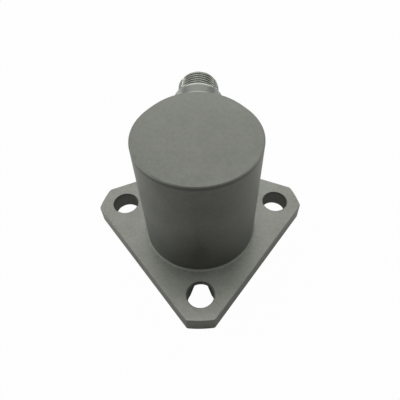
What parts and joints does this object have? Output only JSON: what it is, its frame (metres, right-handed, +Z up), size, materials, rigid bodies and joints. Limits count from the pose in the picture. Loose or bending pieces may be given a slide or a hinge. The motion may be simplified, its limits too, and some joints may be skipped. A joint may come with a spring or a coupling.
{
  "type": "piezoelectric pressure transducer",
  "caption": "Steel pressure transducer with a round body, a lobed flange for screws, a flush wavy diaphragm below and a threaded connector on its side.",
  "frame": {"origin": "on the body's axis in the plane of the flange's underside, at the mouth of the diaphragm ring's bore", "axes": "+Z up the body towards the closed top, +Y the way the connector leaves, the single front lobe at -Y"},
  "size_m": [0.0592, 0.0576, 0.0381],
  "materials": {
    "body_steel": "matte bead blasted",
    "connector_steel": "satin",
    "weld_steel": "satin",
    "sheet_steel": "satin",
    "inner_steel": "satin",
    "mass_metal": "satin",
    "crystal": "satin",
    "insulator_ceramic": "matte",
    "electrode_metal": "satin",
    "contact_metal": "polished",
    "seal_glass": "glossy"
  },
  "bodies": {
    "root": {"housing": "body_steel", "diaphragm_ring": "body_steel", "diaphragm": "sheet_steel", "thrust_plate": "inner_steel", "preload_sleeve": "inner_steel", "lower_insulator": "insulator_ceramic", "upper_insulator": "insulator_ceramic", "crystal_1": "crystal", "crystal_2": "crystal", "crystal_3": "crystal", "crystal_4": "crystal", "electrode_1": "electrode_metal", "electrode_2": "electrode_metal", "electrode_3": "electrode_metal", "electrode_4": "electrode_metal", "electrode_5": "electrode_metal", "strip_positive": "electrode_metal", "strip_negative": "electrode_metal", "reaction_plate": "inner_steel", "reaction_nut": "inner_steel", "dowel": "inner_steel", "lower_balance_insulator": "insulator_ceramic", "lower_balance_electrode": "electrode_metal", "balance_crystal": "crystal", "upper_balance_electrode": "electrode_metal", "upper_balance_insulator": "insulator_ceramic", "seismic_mass": "mass_metal", "washer": "inner_steel", "balance_screw": "inner_steel", "lead_positive": "electrode_metal", "lead_negative": "electrode_metal", "lead_tube_positive": "insulator_ceramic", "lead_tube_negative": "insulator_ceramic", "connector_shell": "connector_steel", "connector_weld": "weld_steel", "glass_seal": "seal_glass", "socket_insulator": "insulator_ceramic", "contact_positive": "contact_metal", "contact_negative": "contact_metal"}
  },
  "joints": []
}
